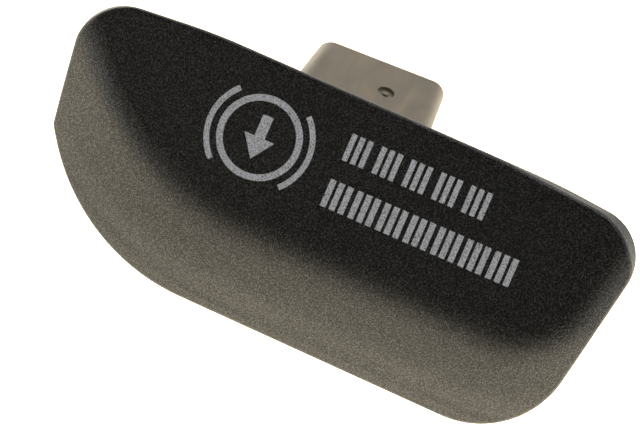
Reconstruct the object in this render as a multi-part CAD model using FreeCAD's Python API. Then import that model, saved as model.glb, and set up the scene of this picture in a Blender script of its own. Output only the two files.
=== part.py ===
import FreeCAD, Part
import math
import os

from FreeCAD import Placement, Rotation, Vector

# Release handle for a vehicle's parking brake. It is a hollow moulded pull handle with a raked
# face, a tongue behind the face that holds the cable end, and a natural nylon retainer that snaps
# over the tongue and traps the cable.
# Sizes are in millimetres. +X is to the right, +Y is rearwards along the pull axis, +Z is up.
# The origin is the point where the cable leaves the rear wall of the retainer.

# Face frame: x to the right, h up along the raked face, w into the handle from the face.
FACE_RAKE = 37.0        # lean of the face back from the vertical, in degrees
FACE_MID_X = 0.85       # middle of the face, to the right of the pull axis
FACE_TOP_Y = -18.1      # top edge of the face, ahead of the cable exit
FACE_TOP_Z = 9.15       # top edge of the face, above the pull axis

# Outline of the handle, seen square to its face
BOTTOM_H = -39.6        # bottom side, below the top edge of the face
BOTTOM_SLOPE = -0.7     # its fall towards the right, in degrees
RIGHT_X = 48.0          # right side, where it passes SIDE_H
LEFT_X = -45.1          # left side, where it passes SIDE_H
SIDE_H = -9.0
RIGHT_LEAN = 10.3       # lean of the right side inwards as it goes down, in degrees
LEFT_LEAN = 4.6         # lean of the left side inwards as it goes down, in degrees
CHEEK_X = -44.05        # corner of the left side and the cheek below it
CHEEK_H = -22.5
CHEEK_STRAIGHT = 0.9    # straight run of the cheek from that corner to its arc
TOP_SLOPE = 0.3         # fall of the top edge towards the right, in degrees
SHOULDER_LEFT_X = -27.0  # where the top edge begins to fall towards the left
SHOULDER_RIGHT_X = 30.0  # where the top edge begins to fall towards the right
SHOULDER_FALL = 5.0     # fall of the shoulders, in degrees
SHOULDER_FACE_X = 18.0  # at the face the right shoulder begins nearer the middle
SHOULDER_FACE_FALL = 4.2  # and falls a little faster
SHOULDER_R = 100.0
TOP_LEFT_R = 7.7        # corner radii of the outline at the rim, from CORNER_W back
TOP_RIGHT_R = 7.8
TOP_LEFT_FACE_R = 8.8   # corner radii of the outline at the face
TOP_RIGHT_FACE_R = 9.6
BOTTOM_RIGHT_R = 15.3
CHEEK_R = 33.4
CHEEK_CORNER_R = 2.0
CORNER_W = 2.0          # depth over which the top corners fill out
WALL_DRAFT = 1.0        # mould draft of the side walls, in degrees

# Crown of the face: a flat field, a bend round it and a sloping facet beyond the bend
FIELD_BOTTOM_H = -23.4  # bottom of the flat field
FIELD_RIGHT_X = 42.6    # right side of the field, where it passes SIDE_H
FIELD_RIGHT_LEAN = 13.0
FIELD_LEFT_X = -38.9    # left side of the field, where it passes SIDE_H
FIELD_LEFT_STEEPNESS = 47.0
FIELD_OVERRUN = 14.0    # the field runs on past the top edge, where the top wall cuts it
FIELD_OVERRUN_R = 4.0
FIELD_RIGHT_R = 9.5
FIELD_LEFT_R = 36.0
BEND_R = 10.0
BEND_ANGLE = 33.0       # turn from the field to the start of the facet, in degrees
BEND_STEPS = 5
FACET_R = 70.0          # the facet is slightly crowned and turns on by FACET_ANGLE
FACET_ANGLE = 10.0
FACET_STEPS = 3

# Shell
WALL = 2.2
EDGE_R = 0.8            # round on the front edge of the outline
RIM_TOP_W = 6.0         # depth of the rim at the top wall
RIM_BOTTOM_W = 17.0     # depth of the rim at the bottom wall
RIM_ROUND = 0.5
BLOCK_W = 26.0          # depth to which the solid block is built before the rim is cut

# Ribs inside the shell
RIB = 1.4
RIB_LEFT_X = -27.0
RIB_RIGHT_X = 29.0
RIB_FOOT_H = -24.0
RIB_SETBACK = 1.5       # ribs stop this far short of the rim

# Retainer: an inverted tray over the tongue
RETAINER_WIDTH = 21.2   # width at the rear wall
RETAINER_TOP_Z = 5.0
RETAINER_BOTTOM_Z = -6.4
RETAINER_WALL = 1.8
RETAINER_DRAFT = 4.1    # narrowing of the sides towards the rear, in degrees
RETAINER_RAKE = 3.8     # rake of the rear wall across the width, in degrees
RETAINER_RIM_GAP = 0.4  # gap between the retainer and the rim of the handle
RETAINER_EDGE_R = 2.4   # round on the long top edges
RETAINER_LIP_R = 0.6    # round on the edges of the rear wall
SEAT_GAP = 0.15         # clearance between the tongue and the sides of the retainer
END_GAP = 0.8           # clearance between the tongue and the rear wall of the retainer
HOOK_DEPTH = 0.9
HOOK_HEIGHT = 1.2
HOOK_LENGTH = 4.6
HOOK_MID_Y = -7.6
HOOK_GAP = 0.1          # clearance between the hooks and the underside of the tongue
CABLE_HOLE_R = 1.5
CABLE_NECK = 1.8        # width of the slot below the cable hole
DIMPLE_X = 2.5          # moulding gate in its dimple on the top of the retainer
DIMPLE_Y = -8.1
DIMPLE_R = 1.4
DIMPLE_DEPTH = 0.45
GATE_R = 0.45
GATE_HEIGHT = 0.25

# Tongue behind the face, along the pull axis. Its top carries the roof of the retainer.
TONGUE_BOTTOM_Z = -4.4
TONGUE_CORNER_R = 1.0
TONGUE_CORE_WALL = 1.6  # walls round the hollow in the underside of the tongue
TONGUE_GUSSET_X = 5.2
TONGUE_GUSSET_FOOT_H = -23.0
TONGUE_GUSSET_END_Y = -13.5
CABLE_END_R = 3.1       # seat for the barrel on the cable's end, which lies across the handle
CABLE_END_LENGTH = 9.4
CABLE_END_Y = -8.6
CABLE_SLOT = 4.6        # slot for the strand and the collar that is crimped on it

REACH = 80.0            # half size of the blocks that cut by a plane


def face_point(x, h, w):
    return Vector(x, w, h)


def to_vehicle(shape):
    """The shape carried from the face frame to the frame of the vehicle."""
    moved = shape.copy()
    face_top = Vector(FACE_MID_X, FACE_TOP_Y, FACE_TOP_Z)
    place = Placement(face_top, Rotation(Vector(1, 0, 0), -FACE_RAKE))
    moved.Placement = place.multiply(moved.Placement)
    return moved


class Side:
    """A straight side of a closed outline, taken anticlockwise as seen from the front."""

    def __init__(self, x, h, heading, corner_r):
        self.x = x
        self.h = h
        self.heading = math.radians(heading)
        self.corner_r = corner_r  # radius of the corner with the next side

    def shifted(self, outwards):
        out_x = math.sin(self.heading) * outwards
        out_h = -math.cos(self.heading) * outwards
        return self.x + out_x, self.h + out_h


def crossing(a, b, outwards):
    """The point where two neighbouring sides meet, once both are shifted outwards."""
    ax, ah = a.shifted(outwards)
    bx, bh = b.shifted(outwards)
    across = math.sin(b.heading - a.heading)
    along = ((bx - ax) * math.sin(b.heading) - (bh - ah) * math.cos(b.heading)) / across
    return ax + along * math.cos(a.heading), ah + along * math.sin(a.heading)


def outline_wire(sides, w, outwards=0.0, corner_growth=0.0):
    """The closed wire of the sides at depth w, with a tangent arc at each corner."""
    starts = []
    ends = []
    middles = []
    count = len(sides)
    for i in range(count):
        a = sides[i]
        b = sides[(i + 1) % count]
        x, h = crossing(a, b, outwards)
        turn = (b.heading - a.heading) % (2 * math.pi)
        radius = max(a.corner_r + corner_growth, 0.2)
        tangent = radius * math.tan(turn / 2)
        half = (a.heading + turn / 2) + math.pi / 2
        to_middle = radius / math.cos(turn / 2) - radius
        starts.append((x - tangent * math.cos(a.heading), h - tangent * math.sin(a.heading)))
        ends.append((x + tangent * math.cos(b.heading), h + tangent * math.sin(b.heading)))
        middles.append((x + to_middle * math.cos(half), h + to_middle * math.sin(half)))
    edges = []
    for i in range(count):
        before = ends[i - 1]
        line = Part.LineSegment(face_point(*before, w), face_point(*starts[i], w))
        arc = Part.Arc(face_point(*starts[i], w), face_point(*middles[i], w), face_point(*ends[i], w))
        edges += [line.toShape(), arc.toShape()]
    return Part.Wire(edges)


def cheek_steepness():
    """Turn from the bottom side to the cheek, whose arc then reaches up to its corner."""
    slope = math.radians(BOTTOM_SLOPE)
    rise = (CHEEK_H - BOTTOM_H) * math.cos(slope) - CHEEK_X * math.sin(slope)
    reach = math.hypot(CHEEK_R, CHEEK_STRAIGHT)
    lag = math.atan2(CHEEK_STRAIGHT, CHEEK_R)
    return math.degrees(math.acos((CHEEK_R - rise) / reach) - lag)


def handle_sides(at_face):
    """The outline of the handle at its face, or at its rim, where the top corners are fuller."""
    top_right = TOP_RIGHT_FACE_R if at_face else TOP_RIGHT_R
    top_left = TOP_LEFT_FACE_R if at_face else TOP_LEFT_R
    shoulder_x = SHOULDER_FACE_X if at_face else SHOULDER_RIGHT_X
    shoulder_fall = SHOULDER_FACE_FALL if at_face else SHOULDER_FALL
    cheek_heading = BOTTOM_SLOPE - cheek_steepness()
    return [
        Side(0, BOTTOM_H, BOTTOM_SLOPE, BOTTOM_RIGHT_R),
        Side(RIGHT_X, SIDE_H, 90 - RIGHT_LEAN, top_right),
        Side(shoulder_x, 0, 180 - shoulder_fall, SHOULDER_R),
        Side(0, 0, 180 - TOP_SLOPE, SHOULDER_R),
        Side(SHOULDER_LEFT_X, 0, 180 + SHOULDER_FALL, top_left),
        Side(LEFT_X, SIDE_H, 270 + LEFT_LEAN, CHEEK_CORNER_R),
        Side(CHEEK_X, CHEEK_H, 360 + cheek_heading, CHEEK_R),
    ]


def field_sides():
    """The flat field of the face."""
    return [
        Side(0, FIELD_BOTTOM_H, 0, FIELD_RIGHT_R),
        Side(FIELD_RIGHT_X, SIDE_H, 90 - FIELD_RIGHT_LEAN, FIELD_OVERRUN_R),
        Side(0, FIELD_OVERRUN, 180, FIELD_OVERRUN_R),
        Side(FIELD_LEFT_X, SIDE_H, 360 - FIELD_LEFT_STEEPNESS, FIELD_LEFT_R),
    ]


def prism(inset):
    """The handle's outline run back from the face, drafted, with the side walls inset."""
    spread = math.tan(math.radians(WALL_DRAFT))
    sections = [outline_wire(handle_sides(True), 0, -inset, -inset)]
    for w in (CORNER_W, BLOCK_W):
        sections.append(outline_wire(handle_sides(False), w, spread * w - inset, -inset))
    return Part.makeLoft(sections, True, True)


def crown_profile(inset):
    """Runs out and down from the field's edge, with the slope, round the bend and the facet."""
    points = []
    out = 0.0
    depth = inset
    slope = 0.0
    for radius, turn, steps in ((BEND_R, BEND_ANGLE, BEND_STEPS), (FACET_R, FACET_ANGLE, FACET_STEPS)):
        inner = radius - inset
        for step in range(steps + 1):
            angle = math.radians(slope + turn * step / steps)
            start = math.radians(slope)
            further = inner * (math.sin(angle) - math.sin(start))
            lower = inner * (math.cos(start) - math.cos(angle))
            if step > 0 or not points:
                points.append((out + further, depth + lower))
        out, depth = points[-1]
        slope += turn
    return points, slope


def crown(inset):
    """Everything behind the crowned front surface, or behind its parallel at the inset."""
    points, slope = crown_profile(inset)
    sections = [outline_wire(field_sides(), depth, out, out) for out, depth in points]
    bend = Part.makeLoft(sections, True, False)
    out, depth = points[-1]
    further = out + (BLOCK_W + WALL - depth) / math.tan(math.radians(slope))
    last = outline_wire(field_sides(), BLOCK_W + WALL, further, further)
    facets = Part.makeLoft([sections[-1], last], True, True)
    return bend.fuse(facets)


def edges_between(solid, first, second):
    """Edges of the solid that lie on both of the other two surfaces."""
    found = []
    for edge in solid.Edges:
        middle = Part.Vertex(edge.valueAt((edge.FirstParameter + edge.LastParameter) / 2))
        if middle.distToShape(first)[0] < 0.01 and middle.distToShape(second)[0] < 0.01:
            found.append(edge)
    return found


def behind_plane(h_low, w_low, h_high, w_high):
    """A block behind the plane, parallel to X, that passes two points of the face frame."""
    slope = math.degrees(math.atan2(w_low - w_high, h_high - h_low))
    block = Part.makeBox(2 * REACH, REACH, 2 * REACH, Vector(-REACH, 0, -REACH))
    block.rotate(Vector(0, 0, 0), Vector(1, 0, 0), slope)
    block.translate(face_point(0, h_high, w_high))
    return block


def behind_rim(setback=0.0):
    return behind_plane(BOTTOM_H, RIM_BOTTOM_W - setback, 0, RIM_TOP_W - setback)


def shell_walls():
    """The hollow shell in the face frame, without what stands inside it."""
    walls = prism(0)
    front = crown(0)
    rear = behind_rim()
    side_faces = Part.makeShell(walls.Faces[:-2])
    lump = front.common(walls).cut(rear)
    lump = lump.makeFillet(RIM_ROUND, edges_between(lump, side_faces, rear.Shells[0]))
    front_edges = edges_between(lump, side_faces, Part.makeShell(front.Faces))
    lump = lump.makeFillet(EDGE_R, front_edges)
    return lump.cut(crown(WALL).common(prism(WALL)))


def rib(x, foot_h):
    """A rib from the top wall down the back of the face, in the face frame."""
    plate = Part.makeBox(RIB, REACH, REACH, face_point(x - RIB / 2, foot_h, -1))
    room = crown(WALL / 2).common(prism(WALL / 2))
    edge = behind_plane(foot_h, WALL, 0, RIM_TOP_W - RIB_SETBACK)
    return plate.common(room).cut(edge)


def drafted_block(half_width, y_front, y_rear, z_low, z_high, top_round):
    """A block along the pull axis that narrows rearwards, with a raked rear end."""
    spread = math.tan(math.radians(RETAINER_DRAFT))
    rake = math.tan(math.radians(RETAINER_RAKE))
    front = half_width + spread * (y_rear - y_front)
    corners = [
        Vector(-front, y_front, z_low),
        Vector(front, y_front, z_low),
        Vector(half_width, y_rear + rake * half_width, z_low),
        Vector(-half_width, y_rear - rake * half_width, z_low),
        Vector(-front, y_front, z_low),
    ]
    block = Part.Face(Part.makePolygon(corners)).extrude(Vector(0, 0, z_high - z_low))
    long_edges = []
    for edge in block.Edges:
        middle = edge.CenterOfMass
        if abs(middle.z - z_high) < 0.01 and abs(middle.x) > half_width / 2:
            long_edges.append(edge)
    return block.makeFillet(top_round, long_edges)


def retainer():
    """The nylon piece over the tongue."""
    half = RETAINER_WIDTH / 2
    front_y = FACE_TOP_Y - WALL
    body = drafted_block(half, front_y, 0, RETAINER_BOTTOM_Z, RETAINER_TOP_Z, RETAINER_EDGE_R)
    lip = []
    for edge in body.Edges:
        middle = edge.CenterOfMass
        if abs(middle.y) < 1.0 and middle.z > RETAINER_BOTTOM_Z + 0.1:
            lip.append(edge)
    body = body.makeFillet(RETAINER_LIP_R, lip)
    room_half = half - RETAINER_WALL
    room_top = RETAINER_TOP_Z - RETAINER_WALL
    room_low = RETAINER_BOTTOM_Z - 1
    room = drafted_block(room_half, front_y, -RETAINER_WALL, room_low, room_top, TONGUE_CORNER_R)
    body = body.cut(room).common(to_vehicle(behind_rim(-RETAINER_RIM_GAP)))
    hole = Part.makeCylinder(CABLE_HOLE_R, 6, Vector(0, -4, 0), Vector(0, 1, 0))
    neck_low = Vector(-CABLE_NECK / 2, -4, RETAINER_BOTTOM_Z - 1)
    neck = Part.makeBox(CABLE_NECK, 6, 1 - RETAINER_BOTTOM_Z, neck_low)
    dimple_low = Vector(DIMPLE_X, DIMPLE_Y, RETAINER_TOP_Z - DIMPLE_DEPTH)
    dimple = Part.makeCylinder(DIMPLE_R, 2, dimple_low)
    gate = Part.makeCylinder(GATE_R, GATE_HEIGHT, dimple_low)
    body = body.cut(hole).cut(neck).cut(dimple).fuse(gate)
    for side in (-1, 1):
        body = body.fuse(hook(side).common(to_vehicle(behind_rim(-RETAINER_RIM_GAP))))
    return body.removeSplitter()


def hook(side):
    """One of the two hooks inside the retainer that catch under the tongue."""
    wall_x = RETAINER_WIDTH / 2 - RETAINER_WALL / 2
    tip_x = RETAINER_WIDTH / 2 - RETAINER_WALL - HOOK_DEPTH
    tip_x += math.tan(math.radians(RETAINER_DRAFT)) * -HOOK_MID_Y
    top_z = TONGUE_BOTTOM_Z - HOOK_GAP
    low_z = top_z - HOOK_HEIGHT
    y = HOOK_MID_Y - HOOK_LENGTH / 2
    corners = [
        Vector(side * wall_x, y, top_z),
        Vector(side * tip_x, y, top_z),
        Vector(side * tip_x, y, top_z - HOOK_HEIGHT / 3),
        Vector(side * (tip_x + HOOK_DEPTH), y, low_z),
        Vector(side * wall_x, y, low_z),
        Vector(side * wall_x, y, top_z),
    ]
    return Part.Face(Part.makePolygon(corners)).extrude(Vector(0, HOOK_LENGTH, 0))


def tongue():
    """The tongue behind the face, in the frame of the vehicle."""
    half = RETAINER_WIDTH / 2 - RETAINER_WALL - SEAT_GAP
    top_z = RETAINER_TOP_Z - RETAINER_WALL
    rear_y = -RETAINER_WALL - END_GAP
    front_y = rear_y - REACH / 2
    block = drafted_block(half, front_y, rear_y, TONGUE_BOTTOM_Z, top_z, TONGUE_CORNER_R)
    block = block.common(to_vehicle(crown(WALL / 2)))
    seat_start = Vector(-CABLE_END_LENGTH / 2, CABLE_END_Y, 0)
    seat = Part.makeCylinder(CABLE_END_R, CABLE_END_LENGTH, seat_start, Vector(1, 0, 0))
    seat_mouth_low = seat_start - Vector(0, CABLE_END_R, 0)
    seat_mouth = Part.makeBox(CABLE_END_LENGTH, 2 * CABLE_END_R, top_z + 1, seat_mouth_low)
    slot_start = Vector(0, CABLE_END_Y, 0)
    slot = Part.makeCylinder(CABLE_SLOT / 2, REACH, slot_start, Vector(0, 1, 0))
    slot_mouth_low = slot_start - Vector(CABLE_SLOT / 2, 0, 0)
    slot_mouth = Part.makeBox(CABLE_SLOT, REACH, top_z + 1, slot_mouth_low)
    block = block.cut(seat).cut(seat_mouth).cut(slot).cut(slot_mouth)
    core_half = half - TONGUE_CORE_WALL
    core_rear = CABLE_END_Y - CABLE_END_R - TONGUE_CORE_WALL
    core_size = (2 * core_half, REACH / 2, top_z - TONGUE_CORE_WALL - TONGUE_BOTTOM_Z)
    core = Part.makeBox(*core_size, Vector(-core_half, core_rear - REACH / 2, TONGUE_BOTTOM_Z))
    core = core.common(to_vehicle(crown(WALL)))
    return block.cut(core)


def gusset(x):
    """A rib under the tongue that ties it to the back of the face."""
    top_z = TONGUE_BOTTOM_Z + TONGUE_CORE_WALL
    foot = to_vehicle(Part.Vertex(face_point(0, TONGUE_GUSSET_FOOT_H, WALL / 2))).Point
    corners = [
        Vector(x - RIB / 2, TONGUE_GUSSET_END_Y, TONGUE_BOTTOM_Z),
        Vector(x - RIB / 2, TONGUE_GUSSET_END_Y, top_z),
        Vector(x - RIB / 2, foot.y, top_z),
        Vector(x - RIB / 2, foot.y, foot.z),
        Vector(x - RIB / 2, TONGUE_GUSSET_END_Y, TONGUE_BOTTOM_Z),
    ]
    plate = Part.Face(Part.makePolygon(corners)).extrude(Vector(RIB, 0, 0))
    return plate.common(to_vehicle(crown(WALL / 2)))


def handle_shell():
    """The moulded handle: the shell with its ribs and the tongue."""
    walls = shell_walls()
    for x in (RIB_LEFT_X, RIB_RIGHT_X):
        walls = walls.fuse(rib(x, RIB_FOOT_H))
    body = to_vehicle(walls).fuse(tongue())
    for x in (-TONGUE_GUSSET_X, TONGUE_GUSSET_X):
        body = body.fuse(gusset(x))
    return body.removeSplitter()


def save(shape, name):
    if not shape.isValid() or len(shape.Solids) != 1:
        raise ValueError(name + " is not one sound solid")
    shape.Solids[0].exportStep("parts/" + name + ".step")


if __name__ == "__main__":
    os.makedirs("parts", exist_ok=True)
    save(handle_shell(), "handle_shell")
    save(retainer(), "cable_retainer")
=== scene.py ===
import math

import bmesh
import bpy
from mathutils import Matrix, Vector


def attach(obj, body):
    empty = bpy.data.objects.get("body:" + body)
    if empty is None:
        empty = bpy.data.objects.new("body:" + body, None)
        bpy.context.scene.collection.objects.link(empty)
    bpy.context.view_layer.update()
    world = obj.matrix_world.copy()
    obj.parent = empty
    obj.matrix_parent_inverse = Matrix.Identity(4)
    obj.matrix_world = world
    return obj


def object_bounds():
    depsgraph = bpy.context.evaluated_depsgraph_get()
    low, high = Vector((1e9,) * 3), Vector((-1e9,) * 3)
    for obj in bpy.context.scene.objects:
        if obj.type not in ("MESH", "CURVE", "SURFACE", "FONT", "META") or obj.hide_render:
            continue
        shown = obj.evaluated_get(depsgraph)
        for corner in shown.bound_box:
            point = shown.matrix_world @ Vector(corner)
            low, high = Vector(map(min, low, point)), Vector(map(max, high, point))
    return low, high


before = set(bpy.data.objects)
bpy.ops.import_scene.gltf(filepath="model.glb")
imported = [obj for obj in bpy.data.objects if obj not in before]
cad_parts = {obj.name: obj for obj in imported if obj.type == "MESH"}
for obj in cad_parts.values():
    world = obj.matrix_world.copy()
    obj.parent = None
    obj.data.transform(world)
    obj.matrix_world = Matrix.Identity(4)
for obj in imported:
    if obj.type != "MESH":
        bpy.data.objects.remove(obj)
cad_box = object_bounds()

bl_info = {
    "name": "Parking brake release handle",
    "version": (1, 0, 0),
    "blender": (4, 5, 0),
    "location": "View3D > Sidebar > Handle",
    "description": "Finishes, printed legend and studio for a parking brake handle",
    "category": "Object",
}

MM = 0.001

# The face of the handle is a plane. On it x runs to the right and h upwards, both from
# the middle of the top edge. It leans back from the vertical by FACE_RAKE.
FACE_RAKE = math.radians(37)
FACE_TOP = Vector((0.85, -18.1, 9.15)) * MM
FACE_UP = Vector((0, math.sin(FACE_RAKE), math.cos(FACE_RAKE)))
FACE_NORMAL = Vector((0, -math.cos(FACE_RAKE), math.sin(FACE_RAKE)))

# Turn of the grain about X, Y and Z
GRAIN_TURN = (math.radians(20), math.radians(34), math.radians(51))

# Width of the flow lines in the nylon, and how much they are drawn out along Y
FLOW_SIZE = 3.2 * MM
FLOW_STRETCH = (1.0, 0.35, 1.0)

# Straight steps in a full ring and in one bracket
RING_STEPS = 96
BRACKET_STEPS = 40

# Corners of the arrow, in millimetres from the middle of the ring
ARROW_OUTLINE = (
    (-0.85, 3.55), (-0.85, 0.0), (-2.5, 0.0), (0.0, -3.55),
    (2.5, 0.0), (0.85, 0.0), (0.85, 3.55),
)

# Each hatched band: its name, its left, right, lower and upper ends on the face, its
# groups of stripes and the width of a stripe, with the lengths in millimetres
HATCHED_BANDS = (
    ("legend_upper_band", -0.45, 24.35, -9.97, -5.57, 5, 0.85),
    ("legend_lower_band", -0.4, 31.7, -17.7, -13.25, 7, 0.95),
)
STRIPES_IN_GROUP = 3
STRIPE_GAP = 0.50

# The studio: half the width of the floor, how far the painted pool of glow on it and the
# dark gap between the side panels lie to the right, and the lamp above the handle
FLOOR_REACH = 6
PAINTED_GLOW_POOL_ASIDE = 0.20
GAP_ASIDE = 0.10
LAMP_PLACE = (0.16, 0.06, 0.58)
LAMP_LENGTH = 0.24
LAMP_WIDTH = 0.05
LAMP_WATTS = 0.7

# The point of the face in the middle of the picture, x and h, and the camera's sensor
PICTURE_MIDDLE = (0.57 * MM, -18.9 * MM)
SENSOR_WIDTH = 36


def face_matrix(x, h):
    """Carries a shape that is drawn on X and Y to a place on the face."""
    middle = FACE_TOP + Vector((x, 0, 0)) + FACE_UP * h
    turn = Matrix((Vector((1, 0, 0)), FACE_UP, FACE_NORMAL)).transposed().to_4x4()
    return Matrix.Translation(middle) @ turn


def linear(hex_colour, alpha=1.0):
    """The linear colour of an sRGB hex value such as #1E1E1D."""
    parts = [int(hex_colour[i:i + 2], 16) / 255 for i in (1, 3, 5)]
    parts = [p / 12.92 if p <= 0.04045 else ((p + 0.055) / 1.055) ** 2.4 for p in parts]
    return (*parts, alpha)


def add_node(tree, kind, links=None, **settings):
    """Adds a node, sets its properties and input values, and links its inputs."""
    node = tree.nodes.new(kind)
    for name, value in settings.items():
        if hasattr(node, name):
            setattr(node, name, value)
        else:
            node.inputs[name.replace("_", " ").title()].default_value = value
    for name, source in (links or {}).items():
        tree.links.new(source, node.inputs[name])
    return node


def new_material(name):
    """A node material with its principled shader and the tree that holds it."""
    material = bpy.data.materials.new(name)
    material.use_nodes = True
    tree = material.node_tree
    return material, tree, tree.nodes["Principled BSDF"]


def dress(node_name, material):
    """Gives a piece of the frame its finish."""
    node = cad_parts[node_name]
    node.data.materials.clear()
    node.data.materials.append(material)


def pebble_grain(tree, settings, detail, roughness):
    """The etched grain of the mould. It is turned askew, because a flat side that cut
    the noise along its own lattice would show smooth patches."""
    place = add_node(tree, "ShaderNodeTexCoord")
    askew = add_node(
        tree, "ShaderNodeMapping", {"Vector": place.outputs["Object"]},
        rotation=GRAIN_TURN,
    )
    return add_node(
        tree, "ShaderNodeTexNoise", {"Vector": askew.outputs["Vector"]},
        scale=1 / settings.grain_size, detail=detail, roughness=roughness,
    )


# Moulded ABS, coloured black right through. The mould was etched, so the skin has a
# fine pebble grain. It breaks every reflection into specks: the tops of the pebbles
# shine a little, and the pits hardly at all.
def black_grained_abs(settings):
    material, tree, shader = new_material("black_grained_abs")
    pebble = pebble_grain(tree, settings, detail=2.0, roughness=0.55)
    bump = add_node(
        tree, "ShaderNodeBump", {"Height": pebble.outputs["Fac"]},
        strength=1.0, distance=settings.grain_depth,
    )
    shine = add_node(
        tree, "ShaderNodeMapRange", {"Value": pebble.outputs["Fac"]}, clamp=True,
        from_min=0.36, from_max=0.64, to_min=0.30, to_max=0.70,
    )
    # Painted shade: the base colour runs from near black in the pits of the grain to the
    # plastic's colour on the tops, standing in for the grain's self-shading.
    grain_tint_and_shade = add_node(tree, "ShaderNodeValToRGB", {"Fac": pebble.outputs["Fac"]})
    painted_pit_shade, top = grain_tint_and_shade.color_ramp.elements
    painted_pit_shade.position, painted_pit_shade.color = 0.52, linear(settings.abs_pit_shade_hex)
    top.position, top.color = 0.68, linear(settings.abs_colour_hex)
    tree.links.new(grain_tint_and_shade.outputs["Color"], shader.inputs["Base Color"])
    tree.links.new(bump.outputs["Normal"], shader.inputs["Normal"])
    tree.links.new(shine.outputs["Result"], shader.inputs["Specular IOR Level"])
    shader.inputs["Roughness"].default_value = 0.35
    shader.inputs["IOR"].default_value = 1.54
    return material


# Natural nylon 6, unpigmented. Light goes some way in, so thin edges glow. The middle
# is a warm grey tan with faint flow lines, and the smooth skin has a dull satin shine.
def natural_nylon(settings):
    material, tree, shader = new_material("natural_nylon")
    place = add_node(tree, "ShaderNodeTexCoord")
    along = add_node(
        tree, "ShaderNodeMapping", {"Vector": place.outputs["Object"]},
        scale=FLOW_STRETCH,
    )
    flow = add_node(
        tree, "ShaderNodeTexNoise", {"Vector": along.outputs["Vector"]},
        scale=1 / FLOW_SIZE, detail=2.0, roughness=0.45, distortion=0.6,
    )
    tone = add_node(tree, "ShaderNodeValToRGB", {"Fac": flow.outputs["Fac"]})
    streak, body = tone.color_ramp.elements
    streak.position, streak.color = 0.32, linear(settings.nylon_flow_hex)
    body.position, body.color = 0.68, linear(settings.nylon_colour_hex)
    tree.links.new(tone.outputs["Color"], shader.inputs["Base Color"])
    shader.inputs["Subsurface Weight"].default_value = 0.35
    shader.inputs["Subsurface Radius"].default_value = (1.0, 0.8, 0.55)
    shader.inputs["Subsurface Scale"].default_value = 1.2 * MM
    shader.inputs["Roughness"].default_value = 0.44
    shader.inputs["IOR"].default_value = 1.53
    return material


# Pad-printed ink, pale grey and matt. It takes on the tops of the grain and thins out
# in the pits, so it looks finely mottled from near.
def pale_print_ink(settings):
    material, tree, shader = new_material("pale_print_ink")
    pebble = pebble_grain(tree, settings, detail=3.0, roughness=0.6)
    cover = add_node(tree, "ShaderNodeValToRGB", {"Fac": pebble.outputs["Fac"]})
    bare, full = cover.color_ramp.elements
    bare.position, bare.color = 0.30, linear(settings.abs_colour_hex)
    full.position, full.color = 0.62, linear(settings.ink_colour_hex)
    thin = cover.color_ramp.elements.new(0.40)
    thin.color = linear(settings.ink_pit_hex)
    tree.links.new(cover.outputs["Color"], shader.inputs["Base Color"])
    shader.inputs["Roughness"].default_value = 0.7
    shader.inputs["IOR"].default_value = 1.45
    return material


# Matt white paper that burns out to white. Its warm glow is painted light given off by the
# floor itself, strongest in a pool near the handle and again far out on both sides.
def paper_floor_painted_glow():
    material, tree, shader = new_material("paper_floor_painted_glow")
    place = add_node(tree, "ShaderNodeTexCoord")
    centre = add_node(tree, "ShaderNodeMapping", {"Vector": place.outputs["Object"]})
    centre.inputs["Location"].default_value = (-PAINTED_GLOW_POOL_ASIDE, 0, 0)
    spread = add_node(
        tree, "ShaderNodeVectorMath", {0: centre.outputs["Vector"]}, operation="LENGTH",
    )
    # Painted light: the floor's emission is a painted pool of glow near the handle, with
    # brighter flanks far out on both sides.
    painted_glow_pool = add_node(
        tree, "ShaderNodeMapRange", {"Value": spread.outputs["Value"]}, clamp=True,
        from_min=0.15, from_max=0.75, to_min=4.3, to_max=0.9,
    )
    across = add_node(
        tree, "ShaderNodeSeparateXYZ", {"Vector": place.outputs["Object"]},
    )
    aside = add_node(
        tree, "ShaderNodeMath", {0: across.outputs["X"]}, operation="ABSOLUTE",
    )
    painted_flank_glow = add_node(
        tree, "ShaderNodeMapRange", {"Value": aside.outputs["Value"]}, clamp=True,
        from_min=0.25, from_max=0.9, to_max=1.9,
    )
    glow = add_node(
        tree, "ShaderNodeMath",
        {0: painted_glow_pool.outputs["Result"], 1: painted_flank_glow.outputs["Result"]}, operation="ADD",
    )
    tree.links.new(glow.outputs["Value"], shader.inputs["Emission Strength"])
    shader.inputs["Emission Color"].default_value = linear("#FFF0D1")
    shader.inputs["Base Color"].default_value = linear("#F2F2F0")
    shader.inputs["Roughness"].default_value = 0.9
    return material


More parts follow.
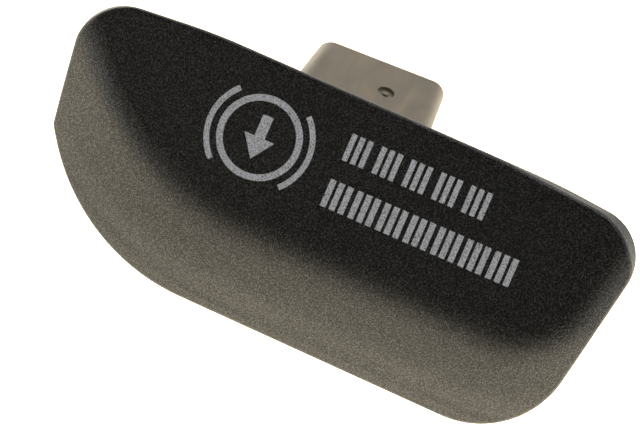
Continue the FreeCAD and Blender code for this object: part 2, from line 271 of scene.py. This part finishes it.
def light_tent():
    """The light round the handle: two side panels that fade upwards, a panel behind,
    and a low glow along the horizon."""
    world = bpy.data.worlds.new("studio_world")
    world.use_nodes = True
    tree = world.node_tree
    direction = add_node(tree, "ShaderNodeTexCoord")
    parts = add_node(
        tree, "ShaderNodeSeparateXYZ", {"Vector": direction.outputs["Generated"]},
    )
    horizon = add_node(
        tree, "ShaderNodeMapRange", {"Value": parts.outputs["Z"]}, clamp=True,
        from_min=0.05, from_max=0.40, to_min=0.15, to_max=0.01,
    )
    shift = add_node(
        tree, "ShaderNodeMath", {0: parts.outputs["X"]}, operation="SUBTRACT",
    )
    shift.inputs[1].default_value = GAP_ASIDE
    aside = add_node(
        tree, "ShaderNodeMath", {0: shift.outputs["Value"]}, operation="ABSOLUTE",
    )
    panel = add_node(
        tree, "ShaderNodeMapRange", {"Value": aside.outputs["Value"]}, clamp=True,
        from_min=0.33, from_max=0.75, to_max=2.0,
    )
    fade = add_node(
        tree, "ShaderNodeMapRange", {"Value": parts.outputs["Z"]}, clamp=True,
        from_min=0.35, from_max=0.75, to_min=1.0, to_max=0.05,
    )
    sides = add_node(
        tree, "ShaderNodeMath",
        {
            0: panel.outputs["Result"],
            1: fade.outputs["Result"],
            2: horizon.outputs["Result"],
        },
        operation="MULTIPLY_ADD",
    )
    rear = add_node(
        tree, "ShaderNodeMapRange", {"Value": parts.outputs["Y"]}, clamp=True,
        from_min=0.35, from_max=0.65, to_max=1.4,
    )
    tent = add_node(
        tree, "ShaderNodeMath",
        {0: sides.outputs["Value"], 1: rear.outputs["Result"]}, operation="ADD",
    )
    background = tree.nodes["Background"]
    background.inputs["Color"].default_value = linear("#FFFBF2")
    tree.links.new(tent.outputs["Value"], background.inputs["Strength"])
    return world


class HandleFinish(bpy.types.PropertyGroup):
    """Colours and grain of the handle's three finishes."""

    abs_colour_hex: bpy.props.StringProperty(
        name="Handle colour",
        description="sRGB hex value of the black plastic",
        default="#313336",
    )
    # Painted shade: this near-black colour in the pits of the grain stands in for the
    # grain's self-shading.
    abs_pit_shade_hex: bpy.props.StringProperty(
        name="Handle colour in the pits",
        description="sRGB hex value in the pits of the grain",
        default="#010101",
    )
    nylon_colour_hex: bpy.props.StringProperty(
        name="Retainer colour",
        description="sRGB hex value of the nylon",
        default="#7D7260",
    )
    nylon_flow_hex: bpy.props.StringProperty(
        name="Retainer flow lines",
        description="sRGB hex value of the darker streaks in the nylon",
        default="#696051",
    )
    ink_colour_hex: bpy.props.StringProperty(
        name="Ink colour",
        description="sRGB hex value of the printed legend",
        default="#A2A8B7",
    )
    ink_pit_hex: bpy.props.StringProperty(
        name="Ink in the pits",
        description="sRGB hex value of the legend where the ink is thin",
        default="#777A82",
    )
    grain_size: bpy.props.FloatProperty(
        name="Grain size",
        description="Spacing of the pebbles in the moulded grain",
        default=0.24 * MM, min=0.1 * MM, max=2 * MM, precision=5, unit="LENGTH",
    )
    grain_depth: bpy.props.FloatProperty(
        name="Grain depth",
        description="Height of the pebbles in the moulded grain",
        default=0.06 * MM, min=0, max=0.5 * MM, precision=5, unit="LENGTH",
    )


class LegendSizes(bpy.types.PropertyGroup):
    """Sizes of the printed legend on the face."""

    ring_x: bpy.props.FloatProperty(
        name="Ring across",
        description="Middle of the ring, to the right of the middle of the face",
        default=-12.67 * MM, precision=5, unit="LENGTH",
    )
    ring_h: bpy.props.FloatProperty(
        name="Ring height",
        description="Middle of the ring, upwards from the top edge of the face",
        default=-11.87 * MM, precision=5, unit="LENGTH",
    )
    ring_radius: bpy.props.FloatProperty(
        name="Ring radius",
        description="Outer radius of the ring",
        default=6.7 * MM, min=1 * MM, max=9 * MM, precision=4, unit="LENGTH",
    )
    ring_stroke: bpy.props.FloatProperty(
        name="Ring stroke",
        description="Width of the ring's line",
        default=1.05 * MM, min=0.2 * MM, max=3 * MM, precision=4, unit="LENGTH",
    )
    bracket_radius: bpy.props.FloatProperty(
        name="Bracket radius",
        description="Outer radius of the two brackets",
        default=8.65 * MM, min=1 * MM, max=10 * MM, precision=4, unit="LENGTH",
    )
    bracket_stroke: bpy.props.FloatProperty(
        name="Bracket stroke",
        description="Width of the brackets' line",
        default=0.9 * MM, min=0.2 * MM, max=3 * MM, precision=4, unit="LENGTH",
    )
    bracket_span: bpy.props.FloatProperty(
        name="Bracket span",
        description="Angle that each bracket spans",
        default=math.radians(92), min=0, max=math.pi, subtype="ANGLE",
    )
    ink_thickness: bpy.props.FloatProperty(
        name="Ink thickness",
        description="Height of the ink above the face",
        default=0.03 * MM, min=0.005 * MM, max=0.2 * MM, precision=5, unit="LENGTH",
    )


class StudioSetup(bpy.types.PropertyGroup):
    """Place of the camera and the floor."""

    camera_distance: bpy.props.FloatProperty(
        name="Camera distance",
        description="From the camera to the face",
        default=0.45, min=0.1, max=3, unit="LENGTH",
    )
    camera_roll: bpy.props.FloatProperty(
        name="Camera roll",
        description="Turn of the camera about its own axis",
        default=math.radians(23.6), subtype="ANGLE",
    )
    camera_yaw: bpy.props.FloatProperty(
        name="Camera yaw",
        description="Turn of the camera to the right of the face's normal",
        default=math.radians(4.2), subtype="ANGLE",
    )
    view_width: bpy.props.FloatProperty(
        name="View width",
        description="Width of the picture at the face",
        default=97.9 * MM, min=20 * MM, max=0.5, precision=4, unit="LENGTH",
    )
    floor_drop: bpy.props.FloatProperty(
        name="Floor drop",
        description="Height of the handle above the floor",
        default=0.30, min=0, max=2, unit="LENGTH",
    )


def ink_piece(name, shape, matrix, material, thickness):
    """Gives a flat shape the thickness of the ink and lays it on the face."""
    made = bmesh.ops.extrude_face_region(shape, geom=shape.faces[:])
    raised = [part for part in made["geom"] if isinstance(part, bmesh.types.BMVert)]
    bmesh.ops.translate(shape, vec=(0, 0, thickness), verts=raised)
    bmesh.ops.transform(shape, matrix=matrix, verts=shape.verts)
    bmesh.ops.recalc_face_normals(shape, faces=shape.faces)
    mesh = bpy.data.meshes.new(name)
    shape.to_mesh(mesh)
    shape.free()
    mesh.materials.append(material)
    piece = bpy.data.objects.new(name, mesh)
    bpy.context.scene.collection.objects.link(piece)
    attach(piece, "root")


def arc_band(shape, outer, stroke, start, sweep, steps):
    """Adds a flat band along an arc, by spinning one straight edge about the middle."""
    closed = math.isclose(sweep, 2 * math.pi)
    inner_end = shape.verts.new(Vector((outer - stroke, 0, 0)))
    outer_end = shape.verts.new(Vector((outer, 0, 0)))
    edge = shape.edges.new((inner_end, outer_end))
    turn = Matrix.Rotation(start, 4, "Z")
    bmesh.ops.transform(shape, matrix=turn, verts=[inner_end, outer_end])
    bmesh.ops.spin(
        shape, geom=[inner_end, outer_end, edge], cent=(0, 0, 0), axis=(0, 0, 1),
        dvec=(0, 0, 0), angle=sweep, steps=steps, use_merge=closed, use_duplicate=False,
    )


def stripe_bar(shape, x, width, height):
    """Adds a flat upright bar, x to the right of the middle."""
    made = bmesh.ops.create_grid(shape, x_segments=1, y_segments=1, size=0.5)
    place = Matrix.Translation((x, 0, 0)) @ Matrix.Diagonal((width, height, 1, 1))
    bmesh.ops.transform(shape, matrix=place, verts=made["verts"])


class HANDLE_OT_finishes(bpy.types.Operator):
    """Give the moulded handle and the nylon retainer their materials"""

    bl_idname = "handle.finishes"
    bl_label = "Handle and retainer finishes"

    def execute(self, context):
        settings = context.scene.handle_finish
        dress("handle_shell", black_grained_abs(settings))
        dress("cable_retainer", natural_nylon(settings))
        return {"FINISHED"}


class HANDLE_OT_legend(bpy.types.Operator):
    """Print the legend: an arrow in a bracketed ring, and two hatched bands"""

    bl_idname = "handle.legend"
    bl_label = "Printed legend"

    def execute(self, context):
        sizes = context.scene.legend_sizes
        ink = pale_print_ink(context.scene.handle_finish)
        thickness = sizes.ink_thickness
        middle = face_matrix(sizes.ring_x, sizes.ring_h)

        ring = bmesh.new()
        arc_band(
            ring, sizes.ring_radius, sizes.ring_stroke, 0, 2 * math.pi, RING_STEPS,
        )
        ink_piece("legend_ring", ring, middle, ink, thickness)

        brackets = bmesh.new()
        for side in (0, math.pi):
            arc_band(
                brackets, sizes.bracket_radius, sizes.bracket_stroke,
                side - sizes.bracket_span / 2, sizes.bracket_span, BRACKET_STEPS,
            )
        ink_piece("legend_brackets", brackets, middle, ink, thickness)

        arrow = bmesh.new()
        arrow.faces.new(
            [arrow.verts.new((x * MM, h * MM, 0)) for x, h in ARROW_OUTLINE],
        )
        ink_piece("legend_arrow", arrow, middle, ink, thickness)

        for name, low_x, high_x, low_h, high_h, groups, stroke in HATCHED_BANDS:
            band = bmesh.new()
            length = high_x - low_x
            for group in range(groups):
                group_x = length / groups * (group + 0.5) - length / 2
                for stripe in range(STRIPES_IN_GROUP):
                    step = stripe - (STRIPES_IN_GROUP - 1) / 2
                    x = group_x + step * (stroke + STRIPE_GAP)
                    stripe_bar(band, x * MM, stroke * MM, (high_h - low_h) * MM)
            place = face_matrix((low_x + high_x) / 2 * MM, (low_h + high_h) / 2 * MM)
            ink_piece(name, band, place, ink, thickness)
        return {"FINISHED"}


class HANDLE_OT_studio(bpy.types.Operator):
    """Set up the pale floor, the soft light and the camera"""

    bl_idname = "handle.studio"
    bl_label = "Floor, light and camera"

    def execute(self, context):
        setup = context.scene.studio_setup
        scene = context.scene

        ground = bmesh.new()
        bmesh.ops.create_grid(ground, x_segments=1, y_segments=1, size=FLOOR_REACH)
        floor_level = cad_box[0][2] - setup.floor_drop
        bmesh.ops.translate(ground, vec=(0, 0, floor_level), verts=ground.verts)
        mesh = bpy.data.meshes.new("studio_floor")
        ground.to_mesh(mesh)
        ground.free()
        mesh.materials.append(paper_floor_painted_glow())
        floor = bpy.data.objects.new("studio_floor", mesh)
        scene.collection.objects.link(floor)

        scene.world = light_tent()

        light = bpy.data.lights.new("top_strip_light", "AREA")
        light.shape = "RECTANGLE"
        light.size = LAMP_LENGTH
        light.size_y = LAMP_WIDTH
        light.energy = LAMP_WATTS
        lamp = bpy.data.objects.new("top_strip_light", light)
        lamp.location = LAMP_PLACE
        lamp.rotation_euler = (-lamp.location).to_track_quat("-Z", "Y").to_euler()
        scene.collection.objects.link(lamp)

        eye = bpy.data.cameras.new("studio_camera")
        eye.sensor_width = SENSOR_WIDTH
        eye.lens = SENSOR_WIDTH * setup.camera_distance / setup.view_width
        eye.clip_start = 0.01
        camera = bpy.data.objects.new("studio_camera", eye)
        aim = face_matrix(*PICTURE_MIDDLE).translation
        away = FACE_NORMAL.copy()
        away.rotate(Matrix.Rotation(setup.camera_yaw, 3, FACE_UP))
        place = Matrix.Translation(aim + away * setup.camera_distance)
        right = FACE_UP.cross(away)
        turn = Matrix((right, FACE_UP, away)).transposed().to_4x4()
        roll = Matrix.Rotation(setup.camera_roll, 4, "Z")
        camera.matrix_world = place @ turn @ roll
        scene.collection.objects.link(camera)
        scene.camera = camera
        scene.view_settings.view_transform = "Standard"
        return {"FINISHED"}


class HANDLE_PT_panel(bpy.types.Panel):
    """Lists the steps that dress the handle"""

    bl_label = "Release handle"
    bl_idname = "HANDLE_PT_panel"
    bl_space_type = "VIEW_3D"
    bl_region_type = "UI"
    bl_category = "Handle"

    def draw(self, context):
        for kind in STEPS:
            self.layout.operator(kind.bl_idname)


STEPS = (HANDLE_OT_finishes, HANDLE_OT_legend, HANDLE_OT_studio)
CLASSES = (HandleFinish, LegendSizes, StudioSetup, *STEPS, HANDLE_PT_panel)


def register():
    for kind in CLASSES:
        bpy.utils.register_class(kind)
    bpy.types.Scene.handle_finish = bpy.props.PointerProperty(type=HandleFinish)
    bpy.types.Scene.legend_sizes = bpy.props.PointerProperty(type=LegendSizes)
    bpy.types.Scene.studio_setup = bpy.props.PointerProperty(type=StudioSetup)


def unregister():
    del bpy.types.Scene.studio_setup
    del bpy.types.Scene.legend_sizes
    del bpy.types.Scene.handle_finish
    for kind in reversed(CLASSES):
        bpy.utils.unregister_class(kind)


def main():
    register()
    bpy.ops.handle.finishes()
    bpy.ops.handle.legend()
    bpy.ops.handle.studio()


if __name__ == "__main__":
    main()
